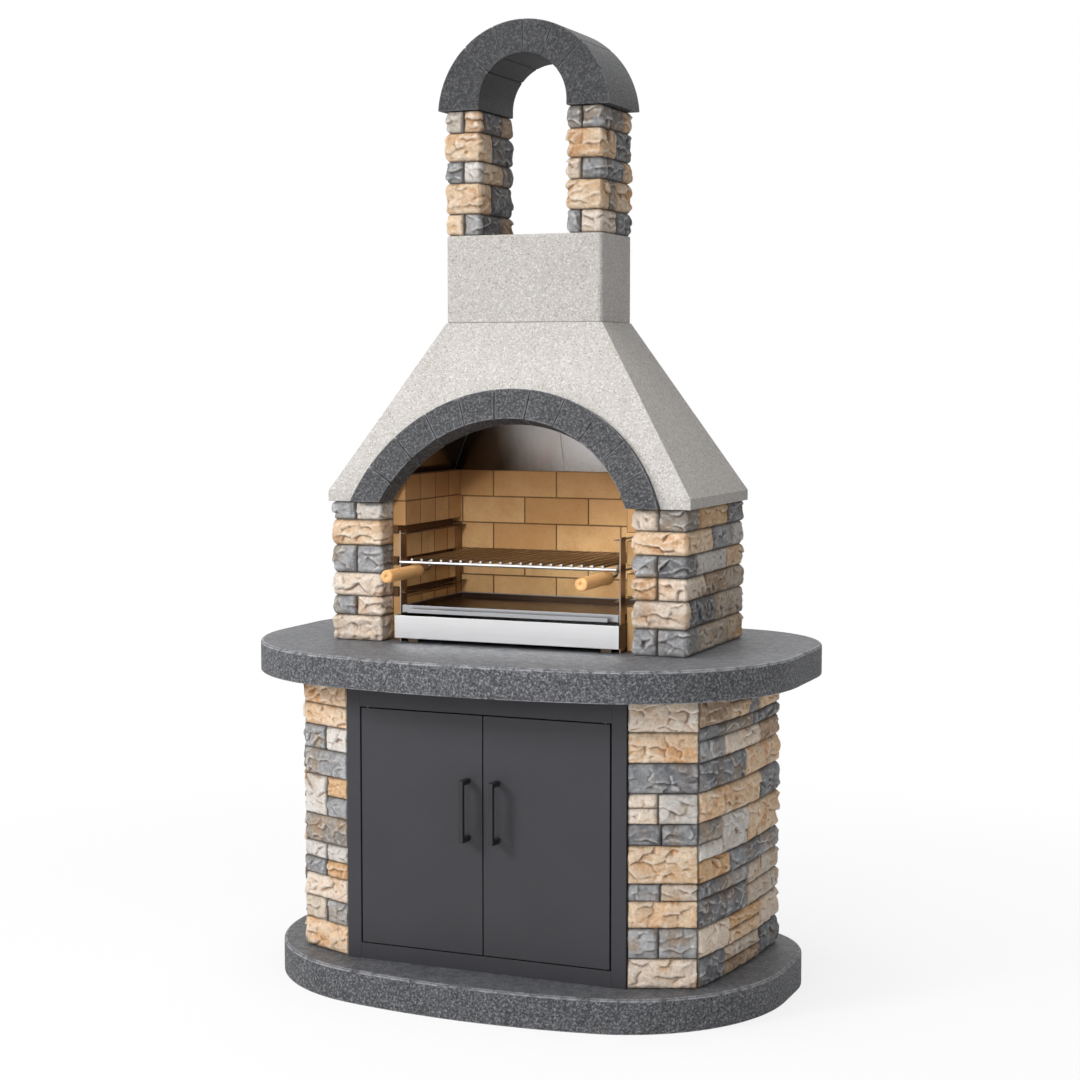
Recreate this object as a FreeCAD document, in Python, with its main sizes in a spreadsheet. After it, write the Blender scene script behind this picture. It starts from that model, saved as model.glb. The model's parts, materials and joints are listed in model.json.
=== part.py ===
# Masonry garden barbecue in millimetres: +Z up, front towards -Y, origin on the ground
# under the middle of the worktop.
import FreeCAD, Part
import math
import os
import re

import Sketcher

V = FreeCAD.Vector

SIZES = {
    # plinth and worktop, both oval slabs in two halves
    "plinth_half": 612, "plinth_front": -378, "plinth_back": 364, "plinth_top": 77,
    "plinth_bow": 1586, "plinth_corner": 390, "plinth_rear_corner": 235,
    "slab_half": 645, "slab_front": -428, "slab_back": 428, "slab_low": 719, "slab_top": 789,
    "slab_bow": 1640, "slab_corner": 400, "slab_rear_corner": 275, "slab_arris": 4,
    # stone walls of the base
    "wall_start": 338, "wall_front": -258, "wall_bow": 1000, "wall_corner": 485, "wall_inner": 410,
    "wall_widest": 530, "wall_widest_at": 190, "wall_side_bow": 1640, "wall_back": 252,
    "mitre_deep": 40, "front_deep": 27, "back_panel_thick": 45, "stone_edge": 5,
    # cabinet frame and doors
    "frame_front": -259, "frame_deep": 40, "frame_opening": 304,
    "opening_low": 113, "opening_high": 656,
    "door_outer": 300, "door_split": 1.5, "door_low": 116, "door_high": 653, "door_thick": 18,
    "door_skin": 3, "door_rim": 10, "door_hinge_rim": 26, "door_top_rim": 30,
    "pivot_x": 288, "pivot_y": -250, "pivot_r": 4, "pivot_play": 0.05, "pivot_in": 12, "pivot_up": 24,
    "pivot_end": 1,
    "magnet_start": 14, "magnet_long": 36, "magnet_deep": 17, "magnet_tall": 26, "magnet_gap": 1,
    "pull_x": 36, "pull_low": 373, "pull_high": 512, "pull_bar": 11, "pull_reach": 41,
    "screw_r": 2.5, "screw_head_r": 4.5, "screw_head": 3, "screw_deep": 10,
    # stone pillars beside the fire chamber
    "pillar_in": 307, "pillar_out": 433, "pillar_front": -143, "pillar_back": 267, "pillar_top": 1111.5,
    # firebricks and the panel behind them
    "brick_thick": 35, "lining_front": -84, "lining_back": 217, "lining_top": 1172,
    "back_brick_thick": 25, "back_brick_long": 165, "back_rows": 6, "groove_deep": 22,
    "low_strip": 890, "low_strip_top": 911, "grid_strip": 963, "grid_strip_top": 981,
    "high_strip": 1036, "high_strip_top": 1054,
    # hood
    "hood_half": 441.5, "hood_front": -146, "hood_back": 270, "rim_top": 1135, "hood_top": 1521,
    "throat_low": 1175, "throat_half": 320, "throat_front": -90, "throat_back": 222,
    "chamber_half": 345, "chamber_front": -100, "chamber_back": 243,
    "flue_half": 106, "flue_front": 10, "flue_back": 114, "flue_rebate": 6,
    "liner_thick": 2, "liner_foot": 290, "liner_inset": 2, "liner_front_inset": 4, "liner_seam": 0.5,
    "liner_slack": 1, "liner_head": 2,
    # arch ring round the mouth of the hood
    "mouth_in": 323, "mouth_out": 395, "mouth_drop": 127, "mouth_proud": 18, "mouth_deep": 40,
    "mouth_hole_in": 62, "mouth_clear": 10, "mouth_stones": 11, "mouth_end": 100,
    # chimney
    "chimney_half": 192, "chimney_front": -32, "chimney_back": 156, "block_top": 1720, "block_round": 10,
    "stack_top": 2002, "crown_top": 2200, "crown_half": 211, "crown_stilt": 15, "crown_over": 5,
    # fire insert
    "post_x": 268.5, "post_thick": 3, "post_wide": 32, "post_front": -120, "post_rear": 183, "post_top": 1045,
    "ledge_wide": 12.5, "ledge_thick": 2, "grid_ledge": 970, "tray_ledge": 858, "low_ledge": 904,
    "high_ledge": 1040,
    "drawer_low": 800, "drawer_top": 850, "drawer_half": 264, "drawer_back": 195, "drawer_sheet": 2,
    "face_half": 275, "face_front": -140, "face_top": 852, "face_return": 52,
    "runner_in": 225, "runner_wide": 25,
    "tray_half": 266, "tray_front": -118, "tray_back": 205, "tray_top": 874, "tray_sheet": 2,
    "tongue_half": 246, "tongue_front": -134, "tongue_top": 867,
    # cooking grid
    "rod_r": 4, "rod_half": 266, "rod_front": -128, "rod_rear": 203, "bar_r": 3, "bar_count": 20,
    "bar_pitch": 24.6, "bar_over": 5, "weld_depth": 0.4,
    "stem_r": 3, "stem_z": 953, "stem_front": -243, "stem_bend": -40, "stem_bend_r": 10,
    "handle_front": -263, "handle_r": 15, "handle_long": 168,
}

doc = FreeCAD.newDocument("masonry_barbecue")
sheet = doc.addObject("Spreadsheet::Sheet", "sizes")
for row, (alias, number) in enumerate(SIZES.items(), start=1):
    sheet.set(f"A{row}", alias)
    sheet.set(f"B{row}", str(number))
    sheet.setAlias(f"B{row}", alias)
doc.recompute()

nodes = []


def size(alias):
    """A driving size read from the sheet."""
    return float(sheet.get(alias))


def cell(formula):
    """A formula of sheet names, written the way an expression wants it."""
    return re.sub(r"[a-z_]\w*", lambda word: "sizes." + word.group(), formula)


def bind(obj, **formulas):
    """Drive properties of an object by formulas of the sheet; x, y and z place it."""
    for name, formula in formulas.items():
        path = f"Placement.Base.{name}" if name in ("x", "y", "z") else name
        obj.setExpression(path, cell(formula))
    return obj


def node(label, obj):
    """Name a finished sub-part."""
    obj.Label = label
    nodes.append(obj)
    return obj


def box(name, x, y, z):
    """A block between pairs of formulas along x, y and z."""
    block = doc.addObject("Part::Box", name)
    sides = {"Length": x, "Width": y, "Height": z}
    bind(block, x=x[0], y=y[0], z=z[0])
    return bind(block, **{side: f"({high}) - ({low})" for side, (low, high) in sides.items()})


def rod(name, radius, length, at, turn=None):
    """A round bar that starts at a point, upright unless it is turned."""
    bar = doc.addObject("Part::Cylinder", name)
    if turn:
        bar.Placement.Rotation = FreeCAD.Rotation(*turn)
    bind(bar, Radius=radius, Height=length)
    return bind(bar, x=at[0], y=at[1], z=at[2])


ALONG_X = (V(0, 1, 0), 90)
ALONG_Y = (V(1, 0, 0), -90)


def cut(name, base, *tools):
    """A piece with every tool taken out of it."""
    for count, tool in enumerate(tools):
        piece = doc.addObject("Part::Cut", f"{name}_cut{count}")
        piece.Base = base
        piece.Tool = tool
        base = piece
    return base


def fuse(name, pieces):
    """One solid of several."""
    piece = doc.addObject("Part::MultiFuse", name)
    piece.Shapes = pieces
    return piece


def group(name, pieces):
    """Separate solids that share a node."""
    piece = doc.addObject("Part::Compound", name)
    piece.Links = pieces
    return piece


def mirrored(name, source):
    """The same piece on the other side of the middle."""
    piece = doc.addObject("Part::Mirroring", name)
    piece.Source = source
    piece.Normal = V(1, 0, 0)
    return piece


def shaped(name, solids):
    """Solids made by hand, as one object."""
    piece = doc.addObject("Part::Feature", name)
    piece.Shape = solids[0] if len(solids) == 1 else Part.makeCompound(solids)
    return piece


def sketch_on(body, name, plane, height="0"):
    """A sketch on one of the body's own planes, lifted along the plane's normal."""
    sketch = body.newObject("Sketcher::SketchObject", name)
    origin = [part for part in body.Origin.OriginFeatures if part.Role == plane][0]
    sketch.AttachmentSupport = (origin, "")
    sketch.MapMode = "FlatFace"
    sketch.setExpression("AttachmentOffset.Base.z", cell(height))
    return sketch


def pin_point(sketch, name, curve, end, x, y):
    """Hold a point of the sketch at two formulas of the sheet."""
    drawn = sketch.getPoint(curve, end)
    for axis, formula, now in (("X", x, drawn.x), ("Y", y, drawn.y)):
        index = sketch.addConstraint(Sketcher.Constraint("Distance" + axis, -1, 1, curve, end, now))
        sketch.renameConstraint(index, f"{name}_{axis.lower()}")
        sketch.setExpression(f"Constraints.{name}_{axis.lower()}", cell(formula))


def outline(sketch, points):
    """A closed outline of straight lines through points given as pairs of formulas."""
    count = len(points)
    for index in range(count):
        turn = 2 * math.pi * index / count
        after = 2 * math.pi * (index + 1) / count
        ends = [V(10 * math.cos(angle), 10 * math.sin(angle), 0) for angle in (turn, after)]
        sketch.addGeometry(Part.LineSegment(*ends))
    for index in range(count):
        sketch.addConstraint(Sketcher.Constraint("Coincident", index, 2, (index + 1) % count, 1))
        pin_point(sketch, f"corner{index}", index, 1, *points[index])
    return sketch


def rectangle(x, y):
    """The four corners between two pairs of formulas."""
    return [(x[0], y[0]), (x[1], y[0]), (x[1], y[1]), (x[0], y[1])]


def feature(body, kind, name, profile, **formulas):
    """A pad, pocket or revolution of a sketch."""
    made = body.newObject("PartDesign::" + kind, name)
    made.Profile = profile
    bind(made, **formulas)
    doc.recompute()
    return made


def edge_names(shape, wanted):
    """Names of the edges for which a test on their two ends holds."""
    names = []
    for index, edge in enumerate(shape.Edges, start=1):
        if wanted(*(vertex.Point for vertex in edge.Vertexes)):
            names.append(f"Edge{index}")
    return names


def dress(body, kind, name, base, edges, **formulas):
    """A fillet or chamfer on named edges of the body's last feature."""
    made = body.newObject("PartDesign::" + kind, name)
    made.Base = (base, edges)
    bind(made, **formulas)
    doc.recompute()
    return made


# Slabs: a straight back, a bowed front and round corners, split at the middle


def slab_half(label, key, low, high):
    half, front, back, bow = (size(f"{key}_{part}") for part in ("half", "front", "back", "bow"))
    body = doc.addObject("PartDesign::Body", label + "_body")
    plan = sketch_on(body, label + "_plan", "XY_Plane", low)
    side_front = front + bow - math.sqrt(bow ** 2 - half ** 2)
    corners = [V(0, front, 0), V(0, back, 0), V(half, back, 0), V(half, side_front, 0)]
    for start, end in zip(corners, corners[1:]):
        plan.addGeometry(Part.LineSegment(start, end))
    sweep = -math.pi / 2 + math.asin(half / bow)
    circle = Part.Circle(V(0, front + bow, 0), V(0, 0, 1), bow)
    plan.addGeometry(Part.ArcOfCircle(circle, -math.pi / 2, sweep))
    for first, first_end, second, second_end in ((0, 2, 1, 1), (1, 2, 2, 1), (2, 2, 3, 2), (3, 1, 0, 1)):
        plan.addConstraint(Sketcher.Constraint("Coincident", first, first_end, second, second_end))
    pin_point(plan, "seam_front", 0, 1, "0", f"{key}_front")
    pin_point(plan, "seam_back", 1, 1, "0", f"{key}_back")
    pin_point(plan, "back_corner", 2, 1, f"{key}_half", f"{key}_back")
    plan.addConstraint(Sketcher.Constraint("Vertical", 2))
    pin_point(plan, "bow_centre", 3, 3, "0", f"{key}_front + {key}_bow")
    pad = feature(body, "Pad", label + "_pad", plan, Length=f"{high} - ({low})")

    for place, radius, behind in (("rear", "rear_corner", True), ("front", "corner", False)):
        square = body.Tip

        def upright(a, b):
            return a.z != b.z and abs(a.x - half) < 1 and (a.y > 0) == behind

        edge = edge_names(square.Shape, upright)[:1]
        dress(body, "Fillet", f"{label}_{place}_round", square, edge, Radius=f"{key}_{radius}")
    top = size(high)
    rounded = body.Tip
    rim = edge_names(rounded.Shape, lambda a, b: min(a.z, b.z) > top - 1 and max(a.x, b.x) > 1)
    dress(body, "Chamfer", label + "_arris", rounded, rim, Size="slab_arris")
    return body


def slabs():
    for label, key, low, high in (("plinth", "plinth", "0", "plinth_top"),
                                  ("worktop", "slab", "slab_low", "slab_top")):
        right = node(label + "_right", slab_half(label, key, low, high))
        node(label + "_left", mirrored(label + "_mirror", right))


# Split stone: convex blocks that lie face to face, with bevelled edges as joints


def stone(plan, low, high):
    """One block over a plan outline."""
    points = [V(x, y, low) for x, y in plan]
    block = Part.Face(Part.makePolygon(points + points[:1])).extrude(V(0, 0, high - low))
    return block.makeChamfer(size("stone_edge"), block.Edges)


def divided(shares, low, high):
    """Marks from low to high that divide the way by these shares."""
    return [low + (high - low) * sum(shares[:index]) / sum(shares) for index in range(len(shares) + 1)]


def spans(start, end, cuts):
    """Neighbouring stretches from start to end, cut at shares of the length."""
    marks = [start] + [start + share * (end - start) for share in cuts] + [end]
    return list(zip(marks, marks[1:]))


def wall_front_y(x):
    return size("wall_front") + (x ** 2 - size("wall_start") ** 2) / (2 * size("wall_bow"))


def wall_side_x(y):
    return size("wall_widest") - (y - size("wall_widest_at")) ** 2 / (2 * size("wall_side_bow"))


# Courses of a base wall from the bottom: the height, then each stretch along the wall as its
# length, followed by the heights of the stones stacked in it where there are several
FRONT_RIGHT = [
    (30, (1,)), (30, (43,), (57,)), (27, (1,)), (17, (45,), (55,)), (38, (1,)), (21, (47,), (53,)),
    (30, (42, 16, 14), (58,)), (30, (1,)), (30, (1,)), (37, (1,)),
]
FRONT_LEFT = [
    (28, (1,)), (22, (48,), (52,)), (23, (1,)), (16, (48,), (52,)), (16, (47,), (53,)), (27, (1,)),
    (39, (46, 20, 19), (54,)), (26, (1,)), (23, (48,), (52,)), (21, (1,)), (30, (1,)),
]
SIDE = [
    (29, (26,), (44, 14, 15), (30,)), (30, (31,), (39, 15, 15), (30,)),
    (44, (26, 28, 16), (26, 28, 16), (48, 22, 22)), (22, (31,), (39,), (30,)),
    (38, (23, 17, 21), (29,), (48,)), (30, (25,), (44,), (31,)), (29, (49,), (51,)),
    (21, (25,), (43,), (32,)), (13, (25,), (35,), (40,)), (33, (31,), (23, 17, 16), (12,), (34,)),
]


def stones_along(courses, start, end):
    """Every stone of a base wall as its stretch along the wall and its two beds."""
    levels = divided([course[0] for course in courses], size("plinth_top"), size("slab_low"))
    for (_, *stretches), bed, top in zip(courses, levels, levels[1:]):
        ends = divided([stretch[0] for stretch in stretches], start, end)
        for stretch, near, far in zip(stretches, ends, ends[1:]):
            beds = divided(stretch[1:] or (1,), bed, top)
            for low, high in zip(beds, beds[1:]):
                yield near, far, low, high


def base_wall(front, flank, side):
    """Stones of a base wall, mitred at the corner; side is 1 on the right and -1 on the left."""
    corner, inner = size("wall_corner"), size("wall_inner")
    turn = wall_front_y(corner)
    rear = turn + size("front_deep")
    mitre = corner - (corner - inner) * size("front_deep") / size("mitre_deep")
    stones = []
    for start, end, low, high in stones_along(front, size("wall_start"), corner):
        behind = mitre if end == corner else end
        plan = [(start, wall_front_y(start)), (end, wall_front_y(end)), (behind, rear), (start, rear)]
        stones.append((plan, low, high))
    for start, end, low, high in stones_along(flank, turn, size("wall_back")):
        at_corner = start == turn
        near = (corner if at_corner else wall_side_x(start), start)
        inside = start + size("mitre_deep") if at_corner else start
        stones.append(([(inner, inside), near, (wall_side_x(end), end), (inner, end)], low, high))
    return [stone([(side * x, y) for x, y in plan], low, high) for plan, low, high in stones]


# Courses from the bottom: share of the height, cuts across the front, cuts along the depth
PILLAR_RIGHT = [
    (27, (0.45,), (0.20, 0.71)), (28, (), (0.08, 0.50)), (23, (0.45,), (0.33, 0.73)),
    (22, (0.45,), (0.19, 0.69)), (24, (), (0.45, 0.80)), (22, (0.47,), (0.22, 0.72)),
]
PILLAR_LEFT = [
    (25, (), (0.34, 0.68)), (19, (0.53,), (0.26, 0.58)), (23, (), (0.40, 0.72)),
    (27, (0.52,), (0.30, 0.64)), (25, (), (0.36, 0.70)), (18, (0.53,), (0.28, 0.60)),
]
STACK_RIGHT = [
    (23, (0.38,), (0.51,)), (30, (), (0.27, 0.50)), (21, (0.40,), (0.20, 0.75)), (29, (), (0.49,)),
    (22, (0.42,), (0.35, 0.72)),
]
STACK_LEFT = [
    (21, (0.50,), (0.13, 0.66)), (30, (), (0.38,)), (21, (0.50,), (0.13, 0.70)), (28, (), (0.41,)),
    (21, (0.50,), (0.13, 0.68)),
]


def pillar(courses, side, x, y, z):
    """Stones of a square pillar between pairs of sizes; only the front row is cut across."""
    stones = []
    levels = divided([course[0] for course in courses], *z)
    for (_, across, along), low, high in zip(courses, levels, levels[1:]):
        rows = spans(y[0], y[1], along)
        for index, (near, far) in enumerate(rows):
            for start, end in spans(x[0], x[1], across if index == 0 else ()):
                plan = [(start, near), (end, near), (end, far), (start, far)]
                stones.append(stone([(side * px, py) for px, py in plan], low, high))
    return stones


def stone_walls():
    between = tuple(size(f"pillar_{part}") for part in ("in", "out", "front", "back"))
    stack = (size("flue_half"), size("chimney_half"), size("chimney_front"), size("chimney_back"))
    for side, front, flank, tall, top in ((1, FRONT_RIGHT, SIDE, PILLAR_RIGHT, STACK_RIGHT),
                                          (-1, FRONT_LEFT, SIDE[::-1], PILLAR_LEFT, STACK_LEFT)):
        hand = "right" if side > 0 else "left"
        node("base_stones_" + hand, shaped("base_wall_" + hand, base_wall(front, flank, side)))
        lift = (size("slab_top"), size("pillar_top"))
        stones = pillar(tall, side, between[:2], between[2:], lift)
        node("pillar_stones_" + hand, shaped("pillar_" + hand, stones))
        lift = (size("block_top"), size("stack_top"))
        stones = pillar(top, side, stack[:2], stack[2:], lift)
        node("chimney_stones_" + hand, shaped("stack_" + hand, stones))


def back_panels():
    behind = ("wall_back - back_panel_thick", "wall_back")
    across = ("-wall_inner", "wall_inner")
    node("base_back_panel", box("base_panel", across, behind, ("plinth_top", "slab_low")))
    behind = ("lining_back + back_brick_thick", "pillar_back")
    across = ("-pillar_in", "pillar_in")
    node("firebox_back_panel", box("firebox_panel", across, behind, ("slab_top", "pillar_top")))


# Cabinet: a steel frame with two doors on pivot pins


def pivot_hole(name, z, length, radius="pivot_r"):
    return rod(name, radius, length, ("pivot_x", "pivot_y", z))


def cabinet_frame():
    depth = ("frame_front", "frame_front + frame_deep")
    stile = box("stile", ("frame_opening", "wall_start"), depth, ("plinth_top", "slab_low"))
    node("frame_stile_right", stile)
    node("frame_stile_left", mirrored("stile_mirror", stile))
    across = ("-frame_opening", "frame_opening")
    rails = {"bottom": ("plinth_top", "opening_low", "opening_low - pivot_up"),
             "top": ("opening_high", "slab_low", "opening_high")}
    for name, (low, high, hole_low) in rails.items():
        bar = box(name + "_bar", across, depth, (low, high))
        hole = pivot_hole(name + "_hole", hole_low, "pivot_up")
        node(f"frame_{name}_rail", cut(name + "_rail", bar, hole, mirrored(name + "_hole_mirror", hole)))


def pivot_pins():
    gap = "door_low - opening_low + pivot_in"
    lower = pivot_hole("lower_pin", "opening_low - pivot_up", f"pivot_up + {gap}")
    upper = pivot_hole("upper_pin", "door_high - pivot_in", "opening_high - door_high + pivot_in + pivot_up")
    pins = [lower, upper, mirrored("lower_pin_mirror", lower), mirrored("upper_pin_mirror", upper)]
    node("door_pivot_pins", group("pins", pins))


def door_magnets():
    back = "frame_front + door_thick + magnet_gap"
    magnet = box("magnet", ("magnet_start", "magnet_start + magnet_long"), (back, f"{back} + magnet_deep"),
                 ("opening_high - magnet_tall", "opening_high"))
    node("door_magnets", group("magnets", [magnet, mirrored("magnet_mirror", magnet)]))


def screw_axes():
    """Heights of the two screws of a door handle."""
    return {"low": "pull_low + pull_bar / 2", "high": "pull_high - pull_bar / 2"}


def screw_shanks(name, radius):
    """Two round shanks from the door's skin into the feet of its handle."""
    start = "frame_front - screw_deep"
    return [rod(f"{name}_{key}", radius, "screw_deep + door_skin", ("pull_x", start, height), ALONG_Y)
            for key, height in screw_axes().items()]


def door():
    """The right-hand door: a folded steel tray with a stiff strip at its hinge side."""
    plate = box("door_plate", ("door_split", "door_outer"), ("frame_front", "frame_front + door_thick"),
                ("door_low", "door_high"))
    hollow = box("door_hollow", ("door_split + door_rim", "door_outer - door_hinge_rim"),
                 ("frame_front + door_skin", "frame_front + door_thick"),
                 ("door_low + door_rim", "door_high - door_top_rim"))
    play = "pivot_r + pivot_play"
    depth = "pivot_in + pivot_end"
    lower = pivot_hole("door_lower_hole", "door_low", depth, play)
    upper = pivot_hole("door_upper_hole", f"door_high - ({depth})", depth, play)
    return cut("door", plate, hollow, lower, upper, *screw_shanks("door_screw_hole", "screw_r"))


def door_handle():
    """A square bar bent back at both ends."""
    body = doc.addObject("PartDesign::Body", "pull_body")
    side = sketch_on(body, "pull_side", "YZ_Plane", "pull_x - pull_bar / 2")
    front, inner = "frame_front - pull_reach", "frame_front - pull_reach + pull_bar"
    outline(side, [("frame_front", "pull_low"), (front, "pull_low"), (front, "pull_high"),
                   ("frame_front", "pull_high"), ("frame_front", "pull_high - pull_bar"),
                   (inner, "pull_high - pull_bar"), (inner, "pull_low + pull_bar"),
                   ("frame_front", "pull_low + pull_bar")])
    feature(body, "Pad", "pull_pad", side, Length="pull_bar")
    return cut("pull", body, *screw_shanks("pull_hole", "screw_r"))


def handle_screws():
    start = "frame_front + door_skin"
    screws = []
    for shank, (key, height) in zip(screw_shanks("shank", "screw_r"), screw_axes().items()):
        head = rod("screw_head_" + key, "screw_head_r", "screw_head", ("pull_x", start, height), ALONG_Y)
        screws.append(fuse("screw_" + key, [shank, head]))
    return group("handle_screws", screws)


def cabinet():
    cabinet_frame()
    pivot_pins()
    door_magnets()
    for label, make in (("door", door), ("door_handle", door_handle), ("handle_screws", handle_screws)):
        right = node(label + "_right", make())
        node(label + "_left", mirrored(label + "_mirror", right))


# Fire chamber lining: courses of firebrick, with a recessed strip at each rail height

SIDE_BRICK_CUTS = ((0.27, 0.50, 0.74), (0.25, 0.52, 0.77))
LINING_LEVELS = ("slab_top", "low_strip", "low_strip_top", "grid_strip", "grid_strip_top", "high_strip",
                 "high_strip_top", "pillar_top", "lining_top")
RECESSED = (1, 3, 5)
# Upright joints of two neighbouring back courses, in brick lengths from the middle
BACK_BRICK_JOINTS = ((-1.62, -0.62, 0.38, 1.38), (-1.12, -0.12, 0.88))


def side_lining():
    """Right-hand side lining, from the worktop up into the hood."""
    bricks = []
    along = "lining_back - lining_front"
    for row, (low, high) in enumerate(zip(LINING_LEVELS, LINING_LEVELS[1:])):
        inner = "pillar_in - brick_thick" + (" + groove_deep" if row in RECESSED else "")
        cuts = () if row in RECESSED else SIDE_BRICK_CUTS[row // 2 % 2]
        for index, (start, end) in enumerate(spans(0, 1, cuts)):
            depth = tuple(f"lining_front + {share} * ({along})" for share in (start, end))
            bricks.append(box(f"side_brick_{row}_{index}", (inner, "pillar_in"), depth, (low, high)))
    return group("side_bricks", bricks)


def back_lining():
    """Back lining in half bond between the pillars."""
    bricks = []
    depth = ("lining_back", "lining_back + back_brick_thick")
    rise = "(lining_top - slab_top) / back_rows"
    for row in range(int(size("back_rows"))):
        shares = BACK_BRICK_JOINTS[row % 2]
        marks = ["-pillar_in"] + [f"{share} * back_brick_long" for share in shares] + ["pillar_in"]
        level = (f"slab_top + {row} * {rise}", f"slab_top + {row + 1} * {rise}")
        for index, across in enumerate(zip(marks, marks[1:])):
            bricks.append(box(f"back_brick_{row}_{index}", across, depth, level))
    return group("back_bricks", bricks)


def lining():
    right = node("side_firebricks_right", side_lining())
    node("side_firebricks_left", mirrored("side_bricks_mirror", right))
    node("back_firebricks", back_lining())


# Hood: a hollow truncated pyramid with an arched mouth in its leaning front

lean = math.atan2(size("chimney_front") - size("hood_front"), size("hood_top") - size("rim_top"))


def frustum(name, low, high):
    """A block that narrows upwards; low and high each give half width, front, back and height."""
    piece = doc.addObject("Part::Wedge", name)
    piece.Placement.Rotation = FreeCAD.Rotation(V(1, 0, 0), 90)
    bind(piece, Xmin="-" + low[0], Xmax=low[0], Zmin=f"-({low[2]})", Zmax=f"-({low[1]})", Ymin=low[3])
    return bind(piece, X2min="-" + high[0], X2max=high[0], Z2min=f"-({high[2]})", Z2max=f"-({high[1]})",
                Ymax=high[3])


def mouth_placement():
    """The plane of the hood's front face: x across, y up the slope, z out of the face."""
    foot = size("hood_front") - (size("rim_top") - size("pillar_top")) * math.tan(lean)
    turn = FreeCAD.Rotation(V(1, 0, 0), 90 - math.degrees(lean))
    return FreeCAD.Placement(V(0, foot, size("pillar_top")), turn)


def hood():
    rim_level, top_level = ("pillar_top", "rim_top"), "hood_top"
    foot = ("hood_half", "hood_front", "hood_back")
    crown = ("chimney_half", "chimney_front", "chimney_back", top_level)
    rim = box("hood_rim", ("-hood_half", "hood_half"), foot[1:], rim_level)
    slopes = frustum("hood_slopes", foot + ("rim_top",), crown)
    outer = fuse("hood_outer", [rim, slopes])
    chamber = box("hood_chamber", ("-chamber_half", "chamber_half"), ("chamber_front", "chamber_back"),
                  ("pillar_top", "throat_low"))
    neck = ("(flue_half + flue_rebate)", "flue_front - flue_rebate", "flue_back + flue_rebate", top_level)
    throat = frustum("hood_throat", ("throat_half", "throat_front", "throat_back", "throat_low"), neck)
    mouth = doc.addObject("Part::Cylinder", "hood_mouth")
    centre = V(0, -size("mouth_drop"), -size("mouth_hole_in"))
    mouth.Placement = mouth_placement() * FreeCAD.Placement(centre, FreeCAD.Rotation())
    bind(mouth, Radius="mouth_out", Height="mouth_hole_in + mouth_proud + mouth_clear")
    node("hood", cut("hood_shell", outer, chamber, throat, mouth))


def wedges(apex, joints, reach, depth):
    """Prisms between neighbouring joints of an arch; joints are degrees from upright."""
    prisms = []
    for pair in zip(joints, joints[1:]):
        far = [apex + V(math.sin(angle), math.cos(angle), 0) * reach for angle in map(math.radians, pair)]
        prisms.append(Part.Face(Part.makePolygon([apex, *far, apex])).extrude(V(0, 0, depth)))
    return prisms


def above(level):
    """A large block that stands on a level."""
    wide = 2 * size("slab_half")
    return Part.makeBox(wide, wide, wide, V(-wide / 2, -wide / 2, level))


def hood_arch():
    """Eleven voussoirs round the mouth, in the hood's leaning front, with level feet."""
    depth = size("mouth_deep") + size("mouth_proud")
    centre = V(0, -size("mouth_drop"), 0)
    ring = Part.makeCylinder(size("mouth_out"), depth, centre)
    ring = ring.cut(Part.makeCylinder(size("mouth_in"), depth, centre))
    count = int(size("mouth_stones"))
    step = 2 * math.degrees(math.acos(size("mouth_drop") / size("mouth_out"))) / count
    inner = [step * (index - count / 2) for index in range(1, count)]
    joints = [-size("mouth_end"), *inner, size("mouth_end")]
    place = mouth_placement() * FreeCAD.Placement(V(0, 0, -size("mouth_deep")), FreeCAD.Rotation())
    stones = []
    for prism in wedges(centre, joints, 4 * size("mouth_out"), depth):
        part = ring.common(prism)
        part.Placement = place
        stones.append(part.common(above(size("pillar_top"))).Solids[0])
    node("hood_arch_stones", shaped("hood_arch", stones))


def sheet_plate(corners):
    """A flat steel sheet on four corners, thickened away from the chamber."""
    points = [V(*corner) for corner in corners]
    normal = (points[1] - points[0]).cross(points[2] - points[0]).normalize()
    face = Part.Face(Part.makePolygon(points + points[:1]))
    return face.extrude(normal * size("liner_thick"))


def hood_liners():
    """Stainless sheets between the firebricks and the chimney block."""
    inset, slack, seam = size("liner_inset"), size("liner_slack"), size("liner_seam")
    low, high = size("lining_top"), size("hood_top") - size("liner_head")
    wide_low, wide_high = size("liner_foot"), size("flue_half") + inset
    back_low, back_high = size("lining_back") + inset, size("flue_back") + inset
    front_low, front_high = size("lining_front") + size("liner_front_inset"), size("flue_front") + inset
    for side, hand in ((1, "right"), (-1, "left")):
        rear = [(side * seam, back_low, low), (side * (wide_low - slack), back_low, low),
                (side * (wide_high - slack), back_high, high), (side * seam, back_high, high)]
        flank = [(side * wide_low, back_low - slack, low), (side * wide_low, front_low, low),
                 (side * wide_high, front_high, high), (side * wide_high, back_high - slack, high)]
        for name, corners in (("back", rear), ("side", flank)):
            ordered = corners[::-1] if side > 0 else corners
            node(f"hood_liner_{name}_{hand}", shaped(f"liner_{name}_{hand}", [sheet_plate(ordered)]))


# Chimney: a hollow block, two stone pillars and an arch over them


def chimney_block():
    depth = ("chimney_front", "chimney_back")
    outer = box("block_outer", ("-chimney_half", "chimney_half"), depth, ("hood_top", "block_top"))
    doc.recompute()
    rounded = doc.addObject("Part::Fillet", "block_rounded")
    rounded.Base = outer
    radius = size("block_round")
    upright = edge_names(outer.Shape, lambda a, b: a.z != b.z)
    rounded.Edges = [(int(name[4:]), radius, radius) for name in upright]
    across, through = ("-flue_half", "flue_half"), ("flue_front", "flue_back")
    flue = box("block_flue", across, through, ("hood_top", "block_top"))
    node("chimney_block", cut("block", rounded, flue))


# Joints of the chimney arch in degrees from upright; the two ends run past the feet
CROWN_JOINTS = (-110, -45, -22, 0, 22, 45, 110)


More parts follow.
